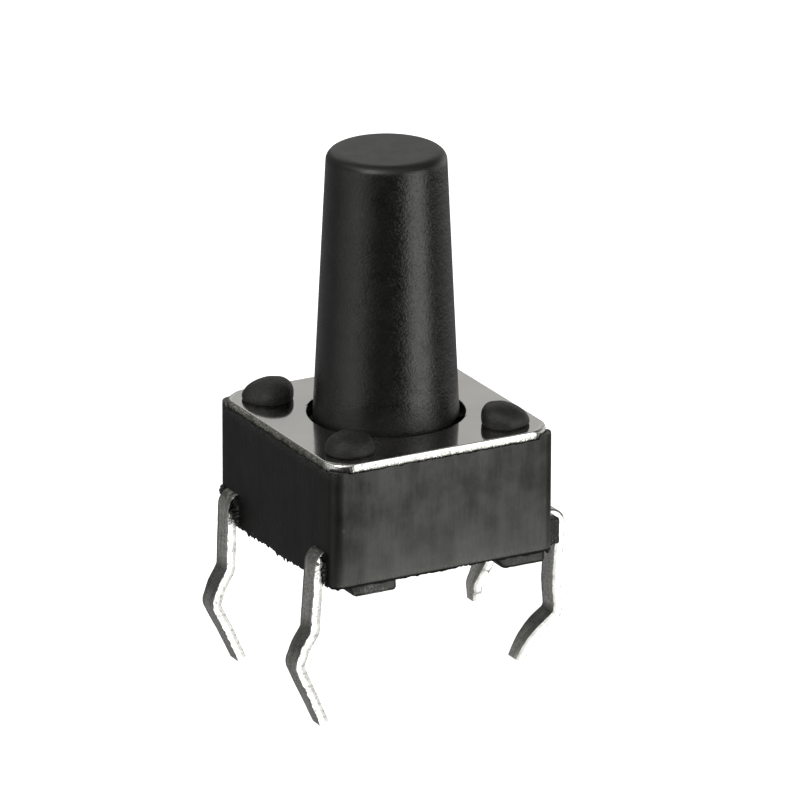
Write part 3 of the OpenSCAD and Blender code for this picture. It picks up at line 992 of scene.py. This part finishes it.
def make_leads():
    """The front frame is a strip, a neck and the round middle contact, which is a stack of circles. The
    back one is a strip and the two tabs under the dome's rim."""
    neck_low = NECK_TOP - STRIP_T
    neck = slab((-NECK_HALF, FRONT_Y - STRIP_W / 2, neck_low), (NECK_HALF, NECK_END, NECK_TOP))
    top = front_high[2]
    disc = skin(stack(*[(ring(r, 64), z) for r, z in (
        (NECK_HALF, neck_low), (CONTACT_R - 0.02, neck_low), (CONTACT_R, neck_low + 0.02),
        (CONTACT_R, top - 0.03), (CONTACT_R - 0.02, top - 0.005), (CONTACT_R - 0.05, top), (NECK_HALF, top),
    )]))
    front = strip(FRONT_LEFT, FRONT_RIGHT, FRONT_Y, 11)
    make_strip_piece("front_lead_frame", "lead_front", *front, [neck, disc])
    tabs = []
    for x in (-TAB_X, TAB_X):
        low = (x - TAB_HALF, TAB_END, Z_FLOOR - STRIP_T)
        tabs.append(slab(low, (x + TAB_HALF, BACK_Y + STRIP_W / 2, Z_FLOOR)))
    back = strip(BACK_LEFT, BACK_RIGHT, BACK_Y, 12, near_cut=0.08)
    make_strip_piece("back_lead_frame", "lead_back", *back, tabs)


make_leads()


# ---- base moulding ----
MOULDED, MELTED, FLASH = 0, 1, 2    # materials of the base
# melted heads by quarter turn from the front left post: radius, height, shift of the crown, and lobes
# as (number round, size, place in degrees)
HEADS = [
    (0.60, 0.48, (0.02, 0.02), [(2, 0.025, 20), (3, 0.015, 80), (5, 0.012, 10)]),
    (0.59, 0.50, (-0.15, 0.08), [(2, 0.02, 60), (3, 0.02, -30), (5, 0.015, 40), (7, 0.012, 0)]),
    (0.60, 0.48, (0.0, 0.03), [(2, 0.03, 100), (3, 0.02, 40), (5, 0.01, 70)]),
    (0.62, 0.48, (0.18, 0.01), [(2, 0.012, 140), (3, 0.015, 35), (5, 0.012, 90), (7, 0.01, 30)]),
]
WIDEST = 0.07                       # height over the cover at which a head is widest
HEAD_LIFT = 0.004                   # gap between a head and the cover


def head(k, r, h, shift, lobes):
    """Post and melted head. Below its widest level the side tucks in a little to the cover. Above it
    the radius falls as a power of a cosine while the height rises as a sine, and the crown slides
    over by the shift. The lobes fade out towards the crown."""
    t = np.linspace(0, 2 * math.pi, 96, endpoint=False)
    unit = ring(1.0, 96)
    wave = sum(size * np.cos(m * (t - math.radians(place))) for m, size, place in lobes)
    middle = turn(np.array([[-POST_XY, -POST_XY]]), k)[0]
    low = Z_COVER + HEAD_LIFT
    steps = [(unit * POST_R * s, z) for s, z in ((0.5, POST_FOOT), (1, POST_FOOT), (1, low))]
    for share in np.linspace(1, 0, 8)[:-1]:
        radius = r * (1 - 0.05 * share ** 2) * (1 + wave)
        steps.append((unit * radius[:, None], low + WIDEST * (1 - share)))
    for a in np.linspace(0, math.pi / 2, 24)[:-1]:
        radius = r * math.cos(a) ** 0.8 * (1 + wave * math.cos(a) ** 0.5)
        slide = np.array(shift) * math.sin(a) ** 1.5
        z = Z_COVER + WIDEST + (h - WIDEST) * math.sin(a) * (1 + 0.25 * wave)
        steps.append((unit * radius[:, None] + slide, z))
    return skin([loop + [*middle, 0] for loop in stack(*steps)], finishes=MELTED)


def fin(x, y, z_low, z_high, reach, width, seed):
    """Torn fin of flash that stands out of a side face: an upright stack of small oval sections whose
    reach changes at random from one to the next."""
    n = 22
    rng = np.random.default_rng(seed)
    heights = np.linspace(z_low, z_high, n)
    end = np.sin(np.linspace(0.06, math.pi - 0.06, n)) ** 0.5
    out = (0.25 + 0.75 * rng.random(n)) * end
    steps = []
    for z, share in zip(heights, out):
        oval = ring(1.0, 12) * [reach * share, width * (0.5 + 0.5 * share)]
        steps.append((oval + [x, y] + rng.uniform(-0.006, 0.006, 2), z))
    return skin(stack(*steps), finishes=FLASH)


def housing_walls():
    """Loops whose points lie at the same angles: from the underside's middle out to the torn lower edge,
    up the side faces, over the lip that the moulding has raised round the cover, and down the cavity to
    its floor. A wall's loop reaches as far as a square with round corners does."""
    outline = rounded_rect(HALF, HALF, BODY_R, 240, 240, 16)
    n = len(outline)
    angles = np.arctan2(outline[:, 1], outline[:, 0])
    unit = np.column_stack([np.cos(angles), np.sin(angles)])
    room = FLANGE_GAP
    cavity = unit * eared(angles, FLANGE_R + room, EAR_HALF + room, EAR_REACH + room)[:, None]

    def outer(inset):
        """A loop of the walls, drawn in by inset."""
        return unit * square_reach(angles, HALF - inset, BODY_R - min(inset, 0.1))[:, None]

    # the raised lip: higher along -X and at the corner webs
    ledge = square_reach(angles, HALF, BODY_R) - square_reach(angles, COVER_HALF + 0.01, COVER_R + 0.01)
    web = np.clip((ledge - 0.03) / 0.05, 0, 1)
    at_left = np.clip((-unit[:, 0] - 0.72) / 0.1, 0, 1)
    at_front = np.clip((-unit.sum(axis=1) - 1.3) / 0.08, 0, 1)
    uneven = 0.5 * ragged(n, 9, 6, 1.5) + 0.5 * ragged(n, 2.3, 16, 2.0)
    lip = 0.008 + 0.015 * at_left + (0.05 + 0.01 * at_left) * uneven
    lip = np.maximum(lip, web * (WEB_H - 0.045 * at_front - 0.02 * uneven))
    edge = square_reach(angles, COVER_HALF, COVER_R)
    inside = unit * (edge + 0.002)[:, None]
    crest = unit * (0.55 * square_reach(angles, HALF, BODY_R) + 0.45 * edge)[:, None]

    # the torn fringe below: long spikes only along -X
    spikes = (0.02 + 0.09 * np.clip((-unit[:, 0] - 0.6) / 0.1, 0, 1)) * ragged(n, 2.6, 15, 6.0)
    fringe = 0.045 * ragged(n, 7, 5) + 0.03 * ragged(n, 2.1, 25, 2.0) + spikes
    walls = [
        (0.12, FOOT_H), (0.045, FOOT_H + 0.01), (0.03, FOOT_H - fringe),
        (0.012, FOOT_H + 0.018 - fringe * 0.9), (0.0, FOOT_H + 0.035 - fringe * 0.6), (0.0, FOOT_H + 0.08),
        *[(0.0, z) for z in np.linspace(FOOT_H + 0.25, Z_TOP - 0.12, 10)],
        (0.0, Z_TOP - 0.03), (0.001, Z_TOP + lip * 0.6 - 0.01), (0.005, Z_TOP + lip * 0.95 - 0.002),
    ]
    loops = stack(
        (outline * 0.4, FOOT_H), *[(outer(inset), z) for inset, z in walls],
        (crest, Z_TOP + lip), (inside, Z_TOP + lip - 0.008), (inside, Z_TOP - 0.004),
        (cavity * 1.02, Z_TOP - 0.004), (cavity, Z_TOP - 0.03), (cavity, Z_FLOOR + 0.03),
        (cavity * 0.98, Z_FLOOR - 0.01), (cavity * 0.4, Z_FLOOR - 0.01),
    )
    return skin(loops, finishes=MOULDED)


def feet():
    """Four slightly rough slabs with sloping -X ends, set in from the -Y and +Y faces."""
    parts = []
    for sx, ramp in zip((-1, 1), FOOT_RAMP):
        for sy in (-1, 1):
            x = FOOT_SHIFT + sx * FOOT_PITCH / 2
            y = sy * (HALF - FOOT_INSET - FOOT[1] / 2)
            low = (x - FOOT[0] / 2, y - FOOT[1] / 2, 0)
            high = (x + FOOT[0] / 2, y + FOOT[1] / 2, FOOT_H + 0.06)
            parts.append(slab(low, high, FOOT_EDGE_R, 0.004, 20 + sx + 2 * sy, MOULDED, ramp))
    return parts


def bosses():
    """Two blocks on the +X face, behind the pins' legs."""
    parts = []
    for y in (FRONT_Y, BACK_Y):
        low = (HALF - 0.1, y - BOSS_W / 2, FOOT_H + 0.005)
        parts.append(slab(low, (BOSS_REACH, y + BOSS_W / 2, BOSS_TOP), 0.05, 0.008, 31, FLASH))
    return parts


def fins():
    """Fins on both sides of each -X pin's root, one behind those, and one beside the front right pin."""
    parts = []
    aside = STRIP_W / 2 + 0.05
    for y, seed in ((FRONT_Y, 41), (BACK_Y, 43)):
        parts.append(fin(-HALF, y - aside, FOOT_H - 0.03, 0.86, 0.12, 0.06, seed))
        parts.append(fin(-HALF, y + aside, FOOT_H + 0.02, 1.1, 0.13, 0.05, seed + 1))
    parts.append(fin(-HALF, BACK_Y + 0.5, 0.85, 1.12, 0.12, 0.1, 47))
    parts.append(fin(HALF + 0.02, FRONT_Y - 0.32, 0.08, 0.72, 0.17, 0.1, 49))
    return parts


def make_base():
    """The housing with its feet, bosses, torn fins and melted heads."""
    heads = [head(k, *sizes) for k, sizes in enumerate(HEADS)]
    parts = [housing_walls(), *feet(), *bosses(), *fins(), *heads]
    finishes = [housing_black, melted_black, flash_black]
    make_piece("base_moulding", "housing", "base", parts, finishes)


make_base()


# ---- studio ----

def make_pale_floor():
    """Matt white board whose tone hardly changes."""
    f = Finish("pale_floor")
    t = f.tree
    grain = f.use(GRAIN, Size=2.0)
    color = tint(t, grain["Cloud"], (0.89, 0.89, 0.89), (0.91, 0.91, 0.91))
    f.shader.inputs["Emission Color"].default_value = (1, 1, 1, 1)
    f.shader.inputs["Emission Strength"].default_value = 0.85
    return f.set(color, span(t, grain["Grain"], 0.0, 1.0, 0.85, 0.95))


def make_floor():
    """Flat board at the pins' ends. It neither shades nor mirrors, so the low lights reach the part."""
    half = 1.0
    z = cad_low.z
    mesh = bpy.data.meshes.new("floor")
    square = [(x * half, y * half, z) for x, y in ((-1, -1), (1, -1), (1, 1), (-1, 1))]
    mesh.from_pydata(square, [], [(0, 1, 2, 3)])
    mesh.materials.append(make_pale_floor())
    floor = bpy.data.objects.new("floor", mesh)
    bpy.context.scene.collection.objects.link(floor)
    floor.visible_glossy = False
    floor.visible_diffuse = False
    floor.visible_shadow = False


def panel(name, azimuth, elevation, size, radiance, distance=0.3):
    """Soft, slightly warm rectangular light that faces the switch. Its power follows its radiance."""
    data = bpy.data.lights.new(name, "AREA")
    data.color = (1.0, 1.0, 0.96)
    data.shape = "RECTANGLE"
    data.size, data.size_y = size
    data.energy = radiance * math.pi * size[0] * size[1]
    light = bpy.data.objects.new(name, data)
    back = direction(azimuth, elevation)
    light.location = back * distance
    light.rotation_mode = "QUATERNION"
    light.rotation_quaternion = back.to_track_quat("Z", "Y")
    light.visible_camera = False
    bpy.context.scene.collection.objects.link(light)


def make_world():
    """Dark grey surroundings, lighter low down behind the switch, and a white backdrop that only the
    camera sees."""
    world = bpy.data.worlds.new("studio")
    world.use_nodes = True
    bpy.context.scene.world = world
    tree = world.node_tree
    background = tree.nodes["Background"]
    background.inputs["Color"].default_value = (1, 1, 1, 1)
    coord = add(tree, "ShaderNodeTexCoord")
    split = add(tree, "ShaderNodeSeparateXYZ", {0: coord.outputs["Generated"]})
    behind = span(tree, split.outputs["Y"], -0.3, 0.4, 0.05, 0.18)
    high = span(tree, split.outputs["Z"], 0.52, 0.66)
    around = add(tree, "ShaderNodeMix", {0: high, 2: behind, 3: 0.06})
    path = add(tree, "ShaderNodeLightPath")
    mix = add(tree, "ShaderNodeMix", {0: path.outputs["Is Camera Ray"], 2: around.outputs[0], 3: 1.0})
    tree.links.new(mix.outputs[0], background.inputs["Strength"])


make_floor()
make_world()
panel("key_panel", 29, 0, (0.195, 0.42), 2.5)
panel("left_panel", -82, -4, (0.13, 0.34), 0.5)
panel("left_wide_panel", -86, -3, (0.38, 0.34), 0.42, 0.31)
panel("left_high_panel", -95, 52, (0.34, 0.14), 0.8, 0.31)
panel("top_panel", -28, 68, (0.5, 0.3), 0.3)
panel("front_high_panel", -28, 48, (0.12, 0.18), 0.8)
panel("back_panel", 151, 33, (0.26, 0.33), 0.43)
panel("corner_panel", -66, 52, (0.11, 0.18), 3.8, 0.31)
panel("edge_panel", 178, 32, (0.1, 0.08), 0.5)
panel("rim_panel", 98, 4, (0.36, 0.18), 0.7)
bpy.context.scene.view_settings.view_transform = "Standard"
